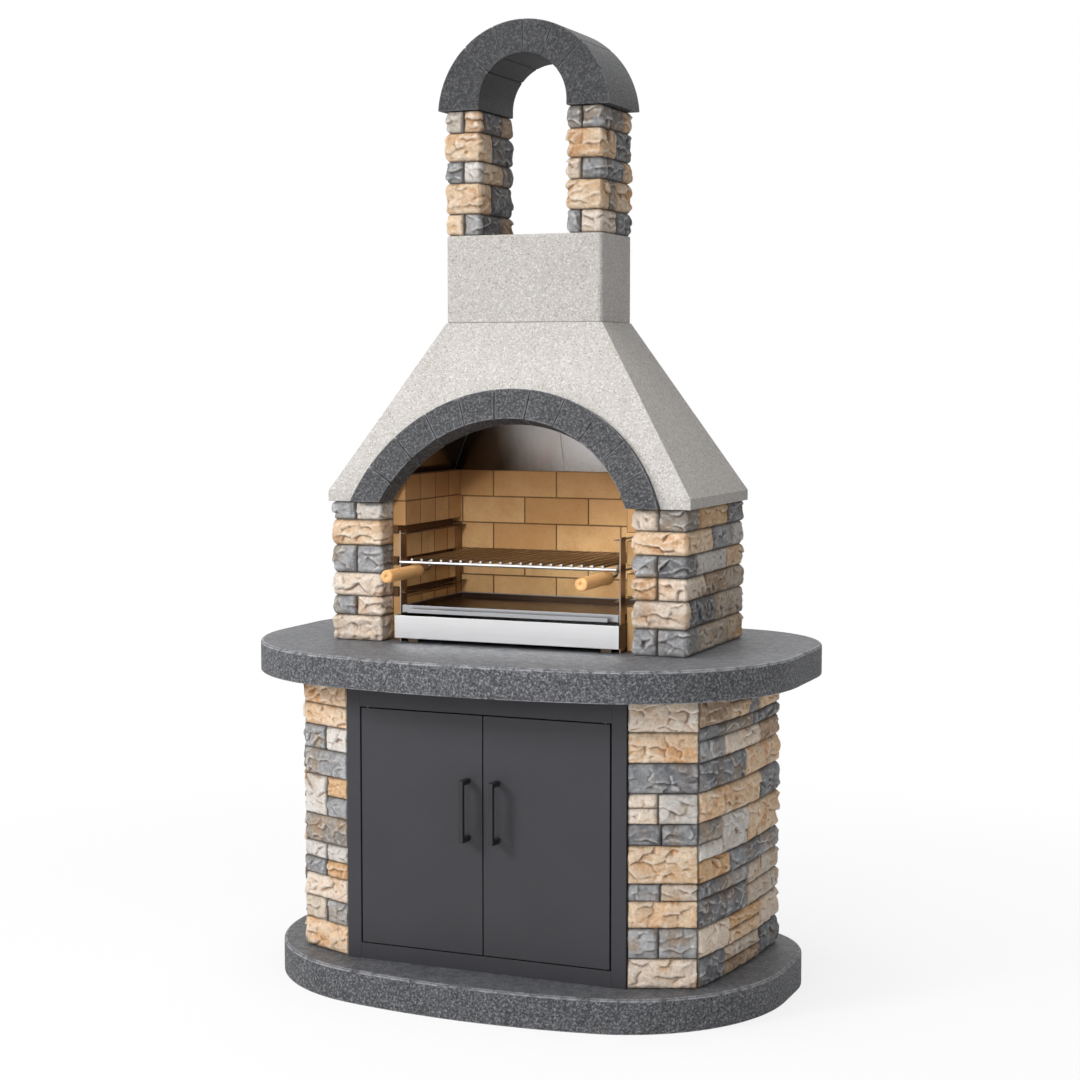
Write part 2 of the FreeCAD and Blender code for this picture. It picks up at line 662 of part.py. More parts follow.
def chimney_arch():
    """Six voussoirs with a keyless crown on a stilted round arch."""
    half, rise = size("crown_half"), size("crown_top") - size("stack_top")
    radius = (half ** 2 + rise ** 2) / (2 * rise)
    inner, stilt = size("flue_half"), size("crown_stilt")
    depth = size("chimney_back") - size("chimney_front") + 2 * size("crown_over")
    arch = Part.makeCylinder(radius, depth, V(0, rise - radius, 0))
    arch = arch.cut(Part.makeCylinder(inner, depth, V(0, stilt, 0)))
    arch = arch.cut(Part.makeBox(2 * inner, stilt + radius, depth, V(-inner, -radius, 0)))
    place = FreeCAD.Placement(V(0, size("chimney_back") + size("crown_over"), size("stack_top")),
                              FreeCAD.Rotation(V(1, 0, 0), 90))
    stones = []
    for prism in wedges(V(0, 0, 0), CROWN_JOINTS, 4 * radius, depth):
        part = arch.common(prism)
        part.Placement = place
        stones.append(part.common(above(size("stack_top"))).Solids[0])
    node("chimney_arch_stones", shaped("chimney_arch", stones))


# Fire insert: posts, rails, ash drawer and charcoal tray


def insert_frame():
    posts, ledges = [], []
    for name, start in (("front", "post_front"), ("rear", "post_rear")):
        post = box(name + "_post", ("post_x", "post_x + post_thick"), (start, f"{start} + post_wide"),
                   ("slab_top", "post_top"))
        posts += [post, mirrored(name + "_post_mirror", post)]
    node("insert_posts", group("posts", posts))
    along = ("post_front", "post_rear + post_wide")
    for name in ("tray", "low", "grid", "high"):
        ledge = box(name + "_rail", ("post_x - ledge_wide", "post_x"), along,
                    (f"{name}_ledge - ledge_thick", f"{name}_ledge"))
        ledges += [ledge, mirrored(name + "_rail_mirror", ledge)]
    node("insert_rails", group("rails", ledges))
    runner = box("runner", ("runner_in", "runner_in + runner_wide"), ("post_front", "drawer_back"),
                 ("slab_top", "drawer_low"))
    node("drawer_runners", group("runners", [runner, mirrored("runner_mirror", runner)]))


def pan(body, name, x, y, low, high, wall):
    """An open tray: a pad with a pocket that leaves walls and a floor of sheet."""
    plan = outline(sketch_on(body, name + "_plan", "XY_Plane", low), rectangle(x, y))
    feature(body, "Pad", name + "_pad", plan, Length=f"{high} - ({low})")
    inside = [(f"{x[0]} + {wall}", f"{x[1]} - {wall}"), (f"{y[0]} + {wall}", f"{y[1]} - {wall}")]
    hollow = outline(sketch_on(body, name + "_hollow", "XY_Plane", high), rectangle(*inside))
    feature(body, "Pocket", name + "_pocket", hollow, Length=f"{high} - ({low}) - {wall}")


def ash_drawer():
    body = doc.addObject("PartDesign::Body", "ash_drawer_body")
    half = ("-drawer_half", "drawer_half")
    start = "face_front + drawer_sheet"
    pan(body, "drawer", half, (start, "drawer_back"), "drawer_low", "drawer_top", "drawer_sheet")
    end, inner = "face_front + face_return", "face_half - drawer_sheet"
    face = outline(sketch_on(body, "drawer_face", "XY_Plane", "drawer_low"),
                   [("-face_half", "face_front"), ("face_half", "face_front"), ("face_half", end),
                    (inner, end), (inner, start), (f"-({inner})", start), (f"-({inner})", end),
                    ("-face_half", end)])
    feature(body, "Pad", "drawer_face_pad", face, Length="face_top - drawer_low")
    node("ash_drawer", body)


def charcoal_tray():
    body = doc.addObject("PartDesign::Body", "charcoal_tray_body")
    pan(body, "tray", ("-tray_half", "tray_half"), ("tray_front", "tray_back"), "tray_ledge", "tray_top",
        "tray_sheet")
    side = outline(sketch_on(body, "tray_tongue", "YZ_Plane"),
                   [("tray_front", "tray_ledge"), ("tray_front", "tray_ledge + tray_sheet"),
                    ("tongue_front + tray_sheet", "tray_ledge + tray_sheet"),
                    ("tongue_front + tray_sheet", "tongue_top"), ("tongue_front", "tongue_top"),
                    ("tongue_front", "tray_ledge")])
    tongue = feature(body, "Pad", "tray_tongue_pad", side, Length="2 * tongue_half")
    tongue.SideType = "Symmetric"
    doc.recompute()
    node("charcoal_tray", body)


# Cooking grid: round bars welded on two cross rods, with wooden handles on bent stems


def cooking_grid():
    rods = []
    height = "grid_ledge + rod_r"
    for name, y in (("front", "rod_front"), ("rear", "rod_rear")):
        rods.append(rod(name + "_rod", "rod_r", "2 * rod_half", ("-rod_half", y, height), ALONG_X))
    count = int(size("bar_count"))
    start = "rod_front - bar_over"
    long = "rod_rear - rod_front + 2 * bar_over"
    for index in range(count):
        x = f"{index - (count - 1) / 2} * bar_pitch"
        lift = "grid_ledge + 2 * rod_r + bar_r - weld_depth"
        rods.append(rod(f"bar_{index}", "bar_r", long, (x, start, lift), ALONG_Y))
    node("cooking_grid", fuse("grid", rods))


def grid_stems():
    """Bent wires from under the outermost bars forward into the handles."""
    body = doc.addObject("PartDesign::Body", "stem_body")
    across = f"{(size('bar_count') - 1) / 2} * bar_pitch"
    path = sketch_on(body, "stem_path", "YZ_Plane", across)
    front, bend, level = size("stem_front"), size("stem_bend"), size("stem_z")
    turn = size("stem_bend_r")
    top = size("grid_ledge") + 2 * size("rod_r")
    circle = Part.Circle(V(bend - turn, level + turn, 0), V(0, 0, 1), turn)
    path.addGeometry(Part.LineSegment(V(front, level, 0), V(bend - turn, level, 0)))
    path.addGeometry(Part.ArcOfCircle(circle, -math.pi / 2, 0))
    path.addGeometry(Part.LineSegment(V(bend, level + turn, 0), V(bend, top, 0)))
    for first, end, second, start in ((0, 2, 1, 1), (1, 2, 2, 1)):
        path.addConstraint(Sketcher.Constraint("Tangent", first, end, second, start))
    pin_point(path, "stem_start", 0, 1, "stem_front", "stem_z")
    pin_point(path, "stem_end", 2, 2, "stem_bend", "grid_ledge + 2 * rod_r")
    path.addConstraint(Sketcher.Constraint("Horizontal", 0))
    path.addConstraint(Sketcher.Constraint("Vertical", 2))
    section = sketch_on(body, "stem_section", "XZ_Plane", "-stem_front")
    section.addGeometry(Part.Circle(V(0, level, 0), V(0, 0, 1), size("stem_r")))
    pin_point(section, "stem_centre", 0, 3, across, "stem_z")
    index = section.addConstraint(Sketcher.Constraint("Radius", 0, size("stem_r")))
    section.setExpression(f"Constraints[{index}]", cell("stem_r"))
    pipe = body.newObject("PartDesign::AdditivePipe", "stem_pipe")
    pipe.Profile = section
    pipe.Spine = (path, [])
    doc.recompute()
    node("grid_handle_stems", group("stems", [body, mirrored("stem_mirror", body)]))


# Turned profile of a handle: radius and distance from its front end, as shares of its size
HANDLE_PROFILE = [(0.86, 0), (1.0, 0.02), (0.96, 0.68), (0.86, 0.78), (1.04, 0.83), (1.04, 0.95), (0.86, 1)]


def grid_handles():
    body = doc.addObject("PartDesign::Body", "handle_body")
    turning = [("stem_r", "handle_front")]
    turning += [(f"{r} * handle_r", f"handle_front + {y} * handle_long") for r, y in HANDLE_PROFILE]
    turning += [("stem_r", "handle_front + handle_long")]
    profile = outline(sketch_on(body, "handle_profile", "XY_Plane"), turning)
    turned = body.newObject("PartDesign::Revolution", "handle_turned")
    turned.Profile = profile
    turned.ReferenceAxis = (profile, ["V_Axis"])
    turned.Angle = 360
    bind(body, x=f"{(size('bar_count') - 1) / 2} * bar_pitch", z="stem_z")
    doc.recompute()
    node("grid_handle_right", body)
    node("grid_handle_left", mirrored("handle_mirror", body))


def write_nodes():
    """Check every object and every sub-part, then write one file per sub-part."""
    doc.recompute()
    failed = [obj.Name for obj in doc.Objects if {"Invalid", "Error"} & set(obj.State)]
    bad = [obj.Label for obj in nodes if obj.Shape.isNull() or not obj.Shape.isValid()]
    if failed or bad:
        raise RuntimeError(f"objects failed {failed}, shapes bad {bad}")
    os.makedirs("parts", exist_ok=True)
    for obj in nodes:
        obj.Shape.exportStep(f"parts/{obj.Label}.step")
        print(obj.Label, len(obj.Shape.Solids), round(obj.Shape.Volume))


slabs()
stone_walls()
back_panels()
cabinet()
lining()
hood()
hood_arch()
hood_liners()
chimney_block()
chimney_arch()
insert_frame()
ash_drawer()
charcoal_tray()
cooking_grid()
grid_stems()
grid_handles()
write_nodes()
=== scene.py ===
import json
import math
import random

import bmesh
import bpy
import numpy as np
from mathutils import Euler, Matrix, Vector, noise


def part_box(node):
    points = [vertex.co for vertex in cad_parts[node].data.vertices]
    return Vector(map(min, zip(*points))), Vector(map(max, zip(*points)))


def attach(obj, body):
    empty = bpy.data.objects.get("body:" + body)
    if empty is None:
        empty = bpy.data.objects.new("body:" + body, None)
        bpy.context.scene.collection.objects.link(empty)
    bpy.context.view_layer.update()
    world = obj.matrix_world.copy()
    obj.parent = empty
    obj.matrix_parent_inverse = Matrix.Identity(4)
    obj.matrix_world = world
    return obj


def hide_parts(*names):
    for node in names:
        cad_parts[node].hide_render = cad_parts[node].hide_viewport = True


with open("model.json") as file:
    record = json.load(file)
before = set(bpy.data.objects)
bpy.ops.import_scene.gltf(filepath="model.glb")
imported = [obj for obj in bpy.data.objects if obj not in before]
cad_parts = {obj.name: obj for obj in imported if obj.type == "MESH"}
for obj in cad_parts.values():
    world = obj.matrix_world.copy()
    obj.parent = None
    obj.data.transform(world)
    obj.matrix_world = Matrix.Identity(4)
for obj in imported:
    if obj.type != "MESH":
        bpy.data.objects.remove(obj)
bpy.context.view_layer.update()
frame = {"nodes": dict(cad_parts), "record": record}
BODY = {node: body for body, nodes in frame["record"]["behaviour"]["bodies"].items() for node in nodes}
UP = np.array((0.0, 0.0, 1.0))


def colour(red, green, blue):
    """A display colour of 0 to 255 as the linear values a shader takes."""
    parts = (channel / 255 for channel in (red, green, blue))
    return tuple(part / 12.92 if part <= 0.04045 else ((part + 0.055) / 1.055) ** 2.4 for part in parts)


# Materials


class Look:
    """A material, with short calls for the nodes that colour and roughen it."""

    def __init__(self, name, rough, metal=0.0):
        self.material = bpy.data.materials.new(name)
        self.material.use_nodes = True
        self.tree = self.material.node_tree
        self.shader = self.tree.nodes["Principled BSDF"]
        self.shader.inputs["Roughness"].default_value = rough
        self.shader.inputs["Metallic"].default_value = metal
        self.place = self.add("ShaderNodeTexCoord").outputs["Object"]

    def add(self, kind, **inputs):
        """A node, with its sockets set to values or joined to other sockets."""
        made = self.tree.nodes.new(kind)
        for name, value in inputs.items():
            self.give(made.inputs[name.replace("_", " ")], value)
        return made

    def give(self, socket, value):
        """Join a socket to another one, or set it to a value."""
        if isinstance(value, bpy.types.NodeSocket):
            self.tree.links.new(value, socket)
        elif socket.type == "RGBA":
            socket.default_value = (*value, 1)
        else:
            socket.default_value = value

    def grain(self, scale, detail=4.0, rough=0.55, stretch=(1, 1, 1)):
        """Soft noise in the part's own space, scale in cells to the metre."""
        spread = self.add("ShaderNodeVectorMath", Vector=self.place)
        spread.operation = "MULTIPLY"
        spread.inputs[1].default_value = stretch
        made = self.add("ShaderNodeTexNoise", Vector=spread.outputs[0], Scale=scale, Detail=detail,
                        Roughness=rough)
        return made.outputs[0]

    def chips(self, scale):
        """A random value for every small grain of an aggregate."""
        made = self.add("ShaderNodeTexVoronoi", Vector=self.place, Scale=scale)
        split = self.add("ShaderNodeSeparateColor", Color=made.outputs["Color"])
        return split.outputs[0]

    def spread(self, value, low, high):
        """A value stretched so that low becomes 0 and high becomes 1."""
        made = self.add("ShaderNodeMapRange", Value=value, From_Min=low, From_Max=high)
        return made.outputs[0]

    def attribute(self, name, kind="Color"):
        """A value kept on the points of the mesh."""
        made = self.add("ShaderNodeAttribute")
        made.attribute_name = name
        return made.outputs[kind]

    def facing(self, axis):
        """How far the surface faces along an axis, from -1 to 1."""
        normal = self.add("ShaderNodeNewGeometry").outputs["Normal"]
        return self.add("ShaderNodeSeparateXYZ", Vector=normal).outputs[axis]

    def along(self, axis):
        """Distance along an axis of the part's own space."""
        return self.add("ShaderNodeSeparateXYZ", Vector=self.place).outputs[axis]

    def maths(self, kind, first, second):
        """A sum, product or other operation on two numbers."""
        made = self.add("ShaderNodeMath")
        made.operation = kind
        self.give(made.inputs[0], first)
        self.give(made.inputs[1], second)
        return made.outputs[0]

    def mix(self, share, first, second, kind="MIX"):
        """Two colours mixed by a share of the second."""
        made = self.add("ShaderNodeMix")
        made.data_type = "RGBA"
        made.blend_type = kind
        self.give(made.inputs["Factor"], share)
        self.give(made.inputs[6], first)
        self.give(made.inputs[7], second)
        return made.outputs[2]

    def paint(self, value):
        """The colour of the surface."""
        self.give(self.shader.inputs["Base Color"], value)

    def roughen(self, value, low, high):
        """Roughness that runs from low to high with a value."""
        made = self.add("ShaderNodeMapRange", Value=value, To_Min=low, To_Max=high)
        self.give(self.shader.inputs["Roughness"], made.outputs[0])

    def bump(self, height, depth, strength=1.0):
        """Fine relief up to a depth in metres."""
        made = self.add("ShaderNodeBump", Height=height, Distance=depth, Strength=strength)
        self.give(self.shader.inputs["Normal"], made.outputs[0])


# How far the painted shade inside an arch reaches from its inner curve
INTRADOS_SHADE_DEPTH = 0.004


def dark_concrete(name, level, top_light_share, shaded_arch=None):
    """Cast anthracite concrete with pale grit.

    Level is how light it is against the slabs, and top_light_share how far its up-facing top is painted
    lighter, partly a smoother top and partly painted light from above. The shaded_arch argument is the
    springing height and radius of an arch whose inside is darkened as painted shade.
    """
    look = Look(name, 0.62)

    def shade(value):
        """A grey with a touch of blue."""
        return colour(level * value, level * (value + 1), level * (value + 5))

    cloud = look.spread(look.grain(11, 6), 0.32, 0.68)
    tone = look.mix(cloud, shade(62), shade(78))
    speck = look.spread(look.grain(180, 7, 0.75), 0.48, 0.64)
    tone = look.mix(look.maths("MULTIPLY", speck, 0.9), tone, shade(160))
    pits = look.spread(look.grain(170, 6, 0.75), 0.49, 0.38)
    tone = look.mix(look.maths("MULTIPLY", pits, 0.9), tone, shade(12))
    flakes = look.spread(look.chips(300), 0.955, 0.975)
    tone = look.mix(look.maths("MULTIPLY", flakes, 0.4), tone, shade(168))
    top = look.spread(look.facing("Z"), 0.6, 0.95)
    # Painted light: faces that look up are mixed towards a lighter mottle, partly a smoother top and partly
    # painted light from above.
    mottle = look.spread(look.grain(60, 8, 0.75), 0.4, 0.62)
    smooth = look.mix(mottle, shade(74), shade(142))
    tone = look.mix(look.maths("MULTIPLY", top, top_light_share), tone, smooth)
    # Paler along the rounded edges, in patches.
    pale_edge = look.maths("MULTIPLY", look.attribute("edge", "Fac"), look.spread(look.grain(60, 4), 0.35, 0.6))
    tone = look.mix(pale_edge, tone, shade(164))
    # Painted shade: the inside of the arch turns near black close to its curved underside.
    if shaded_arch:
        height, radius = shaded_arch
        rise = look.maths("MAXIMUM", look.maths("SUBTRACT", look.along("Z"), height), 0)
        square = look.maths("ADD", look.maths("POWER", look.along("X"), 2), look.maths("POWER", rise, 2))
        reach = look.maths("SQRT", square, 0)
        intrados_shade = look.spread(reach, radius + INTRADOS_SHADE_DEPTH, radius + INTRADOS_SHADE_DEPTH / 4)
        tone = look.mix(intrados_shade, tone, shade(32))
    look.paint(tone)
    look.roughen(top, 0.66, 0.46)
    look.bump(look.grain(110, 9, 0.78), 0.008, 0.9)
    return look.material


def pale_concrete():
    """Light cast concrete with brown, grey and white aggregate."""
    look = Look("light_concrete_look", 0.86)
    cloud = look.spread(look.grain(9, 5), 0.3, 0.7)
    tone = look.mix(cloud, colour(174, 171, 167), colour(183, 180, 176))
    kind = look.chips(330)
    tone = look.mix(look.spread(kind, 0.66, 0.76), tone, colour(169, 164, 158))
    tone = look.mix(look.spread(kind, 0.88, 0.94), tone, colour(155, 146, 136))
    tone = look.mix(look.spread(kind, 0.18, 0.10), tone, colour(199, 196, 193))
    tone = look.mix(look.spread(look.grain(420, 3), 0.54, 0.74), tone, colour(198, 194, 191))
    look.paint(tone)
    look.bump(look.grain(320, 6, 0.7), 0.0025, 0.8)
    return look.material


def split_stone():
    """Split stone in the colours of its points, with painted shade in hollows and joints and painted
    highlights on ridges, where chips are also paler.
    """
    look = Look("split_stone_look", 0.8)
    cloud = look.spread(look.grain(22, 8, 0.62), 0.38, 0.66)
    tone = look.mix(cloud, look.attribute("tint"), look.attribute("patch"))
    stain = look.spread(look.grain(17, 7, 0.62), 0.5, 0.64)
    tone = look.mix(look.maths("MULTIPLY", stain, 0.8), tone, look.attribute("stain"))
    fine = look.spread(look.grain(170, 7, 0.8), 0.38, 0.6)
    tone = look.mix(0.75, tone, look.mix(fine, colour(212, 214, 214), colour(255, 255, 255)), "MULTIPLY")
    # Painted shade in the hollows of the relief and painted highlight on its ridges; chipped ridges are
    # also paler.
    stand = look.attribute("cavity", "Fac")
    hollow = look.spread(stand, -0.05, -1.0)
    tone = look.mix(hollow, tone, look.mix(0.75, tone, colour(150, 126, 106), "MULTIPLY"))
    ridge = look.maths("MULTIPLY", look.spread(stand, 0.1, 1.0), 0.42)
    tone = look.mix(ridge, tone, colour(250, 246, 240))
    # Painted shade where each stone's rounded edge turns into the joint beside it.
    joint = look.maths("MULTIPLY", look.attribute("joint", "Fac"), 0.65)
    look.paint(look.mix(joint, tone, colour(78, 69, 61)))
    look.bump(look.grain(120, 9, 0.76), 0.0065, 0.9)
    return look.material


# Painted shade under the hood darkens the firebricks from this height up, over this rise
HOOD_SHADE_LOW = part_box("back_firebricks")[1].z - 0.25
HOOD_SHADE_RISE = 0.3
GROOVE_SHADE_TINT = 2.0


def firebrick():
    """Ochre firebrick with painted shade near the top under the hood, in the rail grooves and at brick
    edges.
    """
    look = Look("firebrick_look", 0.88)
    tint = look.attribute("tint", "Fac")
    tone = look.mix(tint, colour(206, 160, 103), colour(244, 205, 147))
    cloud = look.spread(look.grain(20, 6), 0.35, 0.7)
    tone = look.mix(look.maths("MULTIPLY", cloud, 0.5), tone, colour(192, 140, 86))
    tone = look.mix(look.spread(look.grain(380, 2), 0.62, 0.75), tone, colour(158, 110, 64))
    # Painted shade: darker towards the top, where the hood shades the lining.
    hood_shade = look.maths("MULTIPLY", look.spread(look.along("Z"), HOOD_SHADE_LOW, HOOD_SHADE_LOW + HOOD_SHADE_RISE), 0.95)
    tone = look.mix(hood_shade, tone, colour(138, 91, 48))
    # Painted shade on the bricks in the recessed grooves for the rails.
    groove = look.spread(tint, 0.6 * GROOVE_SHADE_TINT, 0.9 * GROOVE_SHADE_TINT)
    tone = look.mix(groove, tone, colour(104, 70, 42))
    # Painted shade along the bevelled brick edges, as the shadow line of each joint.
    look.paint(look.mix(look.attribute("edge", "Fac"), tone, colour(100, 68, 39)))
    look.bump(look.grain(360, 4), 0.0006, 0.5)
    return look.material


def cabinet_paint():
    """Matt anthracite paint on the cabinet's frame and doors."""
    look = Look("cabinet_paint_look", 0.5)
    look.shader.inputs["Specular IOR Level"].default_value = 0.3
    cloud = look.grain(7, 3)
    look.paint(look.mix(cloud, colour(53, 53, 57), colour(60, 60, 64)))
    look.roughen(look.grain(30, 3), 0.44, 0.56)
    look.bump(look.grain(900, 2), 0.00015, 0.35)
    return look.material


def black_paint():
    """Black powder paint on the door handles."""
    look = Look("black_paint_look", 0.42)
    look.paint(look.mix(look.grain(40, 3), colour(26, 26, 28), colour(34, 34, 36)))
    look.roughen(look.grain(60, 3), 0.36, 0.5)
    look.bump(look.grain(900, 2), 0.0001, 0.3)
    return look.material


def steel(name, tone, rough, stretch):
    """Brushed stainless sheet; the brushing runs along the axis with the smallest stretch."""
    look = Look(name, rough, 1.0)
    line = look.grain(60, 6, 0.7, stretch)
    look.paint(look.mix(line, tuple(0.9 * part for part in tone), tone))
    look.roughen(line, rough - 0.07, rough + 0.09)
    look.bump(line, 0.00012, 0.4)
    return look.material


def front_lit_steel(name, bright, shaded_tone, front=None, rim=None, stretch=(1, 1, 1)):
    """Steel painted bright where it faces front, as a painted highlight, only near a front place along Y if
    given, and above a rim; elsewhere it gets painted shade browned like the bricks it reflects.
    """
    look = Look(name, 0.3, 1.0)
    line = look.grain(50, 6, 0.65, stretch)
    # Painted highlight on faces that look to the front.
    share = look.spread(look.facing("Y"), -0.5, -0.9)
    if front is not None:
        share = look.maths("MULTIPLY", share, look.spread(look.along("Y"), front + 0.03, front + 0.02))
    if rim is not None:
        share = look.maths("MAXIMUM", share, look.spread(look.along("Z"), rim - 0.003, rim - 0.001))
    tone = look.mix(share, shaded_tone, bright)
    look.paint(look.mix(look.maths("MULTIPLY", line, 0.2), tone, (0.0, 0.0, 0.0)))
    look.roughen(line, 0.24, 0.38)
    look.bump(line, 0.0001, 0.4)
    return look.material


def liner_steel(dark, bright, high, low):
    """Sheet brushed upright, painted dark across the hood from dark to bright and towards its top, as a
    painted reflection of the dark chamber.
    """
    look = Look("liner_look", 0.22, 1.0)
    line = look.grain(60, 6, 0.7, (1, 1, 0.02))
    place = look.maths("ADD", look.along("X"), look.maths("MULTIPLY", line, 0.06))
    across = look.spread(place, dark, bright)
    upright = look.spread(look.along("Z"), high, low)
    # Painted reflection of the dark chamber across the left and the top of the liner.
    share = look.maths("MULTIPLY", across, upright)
    look.paint(look.mix(share, colour(98, 93, 88), colour(245, 245, 246)))
    look.roughen(line, 0.16, 0.3)
    look.bump(line, 0.00012, 0.4)
    return look.material


def turned_wood():
    """Pale wood with its grain along the handles."""
    look = Look("turned_wood_look", 0.5)
    line = look.grain(70, 6, 0.65, (1, 0.06, 1))
    tone = look.mix(look.spread(line, 0.32, 0.7), colour(230, 180, 120), colour(208, 152, 92))
    pore = look.spread(look.grain(260, 3, 0.6, (1, 0.03, 1)), 0.60, 0.76)
    look.paint(look.mix(look.maths("MULTIPLY", pore, 0.6), tone, colour(172, 118, 66)))
    look.roughen(line, 0.42, 0.58)
    look.bump(line, 0.0002, 0.4)
    return look.material


def dark_mortar():
    """Sooty mortar in the joints of the chimney arch."""
    look = Look("mortar_look", 0.95)
    look.paint(look.mix(look.grain(150, 4), colour(48, 47, 46), colour(70, 68, 66)))
    return look.material


LOOKS = {
    "anthracite_concrete": dark_concrete("slab_look", 1.0, 0.5),
    "light_concrete": pale_concrete(),
    "split_stone": split_stone(),
    "firebrick": firebrick(),
    "cabinet_paint": cabinet_paint(),
    "black_paint": black_paint(),
    "stainless": steel("stainless_look", colour(206, 206, 208), 0.3, (0.02, 1, 1)),
    "turned_wood": turned_wood(),
}
SLOT = {name: obj.data.materials[0].name for name, obj in frame["nodes"].items()}
for name, obj in frame["nodes"].items():
    obj.data.materials[0] = LOOKS[SLOT[name]]


# Shapes


def solids(name):
    """The separate closed solids of a sub-part, each as points and faces."""
    mesh = frame["nodes"][name].data
    found, spots, faces, loose = [], {}, [], set()
    for face in mesh.polygons:
        keys = [tuple(round(part, 6) for part in mesh.vertices[index].co) for index in face.vertices]
        loop = [spots.setdefault(key, len(spots)) for key in keys]
        faces.append(loop)
        for start, end in zip(loop, loop[1:] + loop[:1]):
            loose ^= {(min(start, end), max(start, end))}
        if not loose:
            found.append((list(spots), faces))
            spots, faces = {}, []
    return found


def piece(name, mesh, standing_for, material=None):
    """A finished object that stands for sub-parts of one body."""
    obj = bpy.data.objects.new(name, mesh)
    bpy.context.collection.objects.link(obj)
    slot = SLOT[standing_for[0]]
    mesh.materials.append(material or LOOKS[slot])
    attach(obj, BODY[standing_for[0]])
    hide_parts(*standing_for)
    return obj


def mesh_of(name, spots, faces, **values):
    """A smooth mesh with values on its points: one number or one colour each."""
    mesh = bpy.data.meshes.new(name)
    mesh.from_pydata([tuple(spot) for spot in spots], [], faces)
    for label, rows in values.items():
        rows = np.asarray(rows, dtype=np.float32)
        if rows.ndim == 1:
            mesh.attributes.new(label, "FLOAT", "POINT").data.foreach_set("value", rows)
        else:
            rows = np.hstack([rows, np.ones((len(rows), 1), np.float32)])
            mesh.attributes.new(label, "FLOAT_COLOR", "POINT").data.foreach_set("color", rows.ravel())
    mesh.shade_smooth()
    return mesh


def weigh_normals(mesh):
    """Shading normals led by the large faces, so that flat sides stay flat beside soft edges."""
    sums = np.zeros((len(mesh.vertices), 3))
    for face in mesh.polygons:
        sums[list(face.vertices)] += np.array(face.normal) * face.area
    lengths = np.linalg.norm(sums, axis=1, keepdims=True)
    mesh.normals_split_custom_set_from_vertices(sums / np.maximum(lengths, 1e-12))


SEAM_BEVEL = 0.0012


def bevelled(name, width, segments=2, angle=30.0, shares=None, gap=0.0):
    """A sub-part's own solids with soft edges, and a value called edge that is 1 along them.

    Edges on the middle plane are seams and get a narrow bevel. Shares gives each solid its tint, and
    gap the room that each solid leaves to its neighbours.
    """
    shape = bmesh.new()
    tint = shape.verts.layers.float.new("tint")
    edge_value = shape.verts.layers.float.new("edge")
    for index, (spots, faces) in enumerate(solids(name)):
        start = len(shape.verts)
        spots = np.array(spots)
        middle = (spots.min(axis=0) + spots.max(axis=0)) / 2
        spots = middle + (spots - middle) * (1 - gap / np.ptp(spots, axis=0).max())
        for spot in spots:
            shape.verts.new(spot)[tint] = shares[index] if shares else 0.0
        shape.verts.ensure_lookup_table()
        for face in faces:
            shape.faces.new([shape.verts[start + corner] for corner in face])
    shape.normal_update()
    bmesh.ops.dissolve_limit(shape, angle_limit=math.radians(0.4), verts=shape.verts, edges=shape.edges)
    for seam, offset in ((False, width), (True, min(width, SEAM_BEVEL))):
        sharp = [edge for edge in shape.edges if edge.is_manifold
                 and edge.calc_face_angle() > math.radians(angle)
                 and all(abs(vert.co.x) < 1e-4 for vert in edge.verts) == seam]
        if sharp:
            made = bmesh.ops.bevel(shape, geom=sharp, offset=offset, segments=segments, profile=0.6,
                                   affect="EDGES", clamp_overlap=True)
            round_faces = set(made["faces"])
            for vert in made["verts"]:
                vert[edge_value] = float(round_faces.issuperset(vert.link_faces))
    mesh = bpy.data.meshes.new(name + "_look")
    shape.to_mesh(mesh)
    shape.free()
    mesh.shade_smooth()
    weigh_normals(mesh)
    return mesh


def ease(value, low, high):
    """0 below low, 1 above high, and a soft step between."""
    share = np.clip((value - low) / (high - low), 0, 1)
    return share * share * (3 - 2 * share)


# Split stone


# The half length of the shortest side that counts, and the distance within which things touch
SIDE_LEAST = 0.006
NEAR = 0.004


def flat_sides(spots, faces):
    """Upright flat sides of a block: outward direction, middle, half length and half height."""
    spots = np.array(spots)
    sides = {}
    for face in faces:
        a, b, c = spots[list(face)]
        cross = np.cross(b - a, c - a)
        way = cross / max(np.linalg.norm(cross), 1e-12)
        if abs(way[2]) < 0.2:
            sides.setdefault(tuple(np.round(way, 2)), []).append((way, (a, b, c)))
    found = []
    for rows in sides.values():
        corners = np.array([corner for _, face in rows for corner in face])
        way = rows[0][0]
        along = corners @ np.cross(UP, way)
        length, height = np.ptp(along) / 2, np.ptp(corners[:, 2]) / 2
        if length > SIDE_LEAST:
            middle = (corners.min(axis=0) + corners.max(axis=0)) / 2
            found.append((way, middle, length, height))
    return found


def half_spaces(spots, faces):
    """Planes that bound a convex block, as normals and offsets."""
    spots = np.array(spots)
    a, b, c = (spots[[face[corner] for face in faces]] for corner in range(3))
    ways = np.cross(b - a, c - a)
    ways /= np.maximum(np.linalg.norm(ways, axis=1, keepdims=True), 1e-12)
    return ways, np.einsum("ij,ij->i", ways, a)


def free_sides(blocks):
    """For each block of a wall, its upright sides that lie against no other block of the wall."""
    planes = [half_spaces(*block) for block in blocks]
    result = []
    for index, block in enumerate(blocks):
        free = []
        for way, middle, length, height in flat_sides(*block):
            along = np.cross(UP, way)
            samples = [middle + way * NEAR + along * length * u + UP * height * w
                       for u in (-0.6, 0, 0.6) for w in (-0.6, 0, 0.6)]
            covered = any(np.all(ways @ sample < offsets) for other, (ways, offsets) in enumerate(planes)
                          if other != index for sample in samples)
            if not covered:
                free.append((way, middle, length, height))
        result.append(free)
    return result


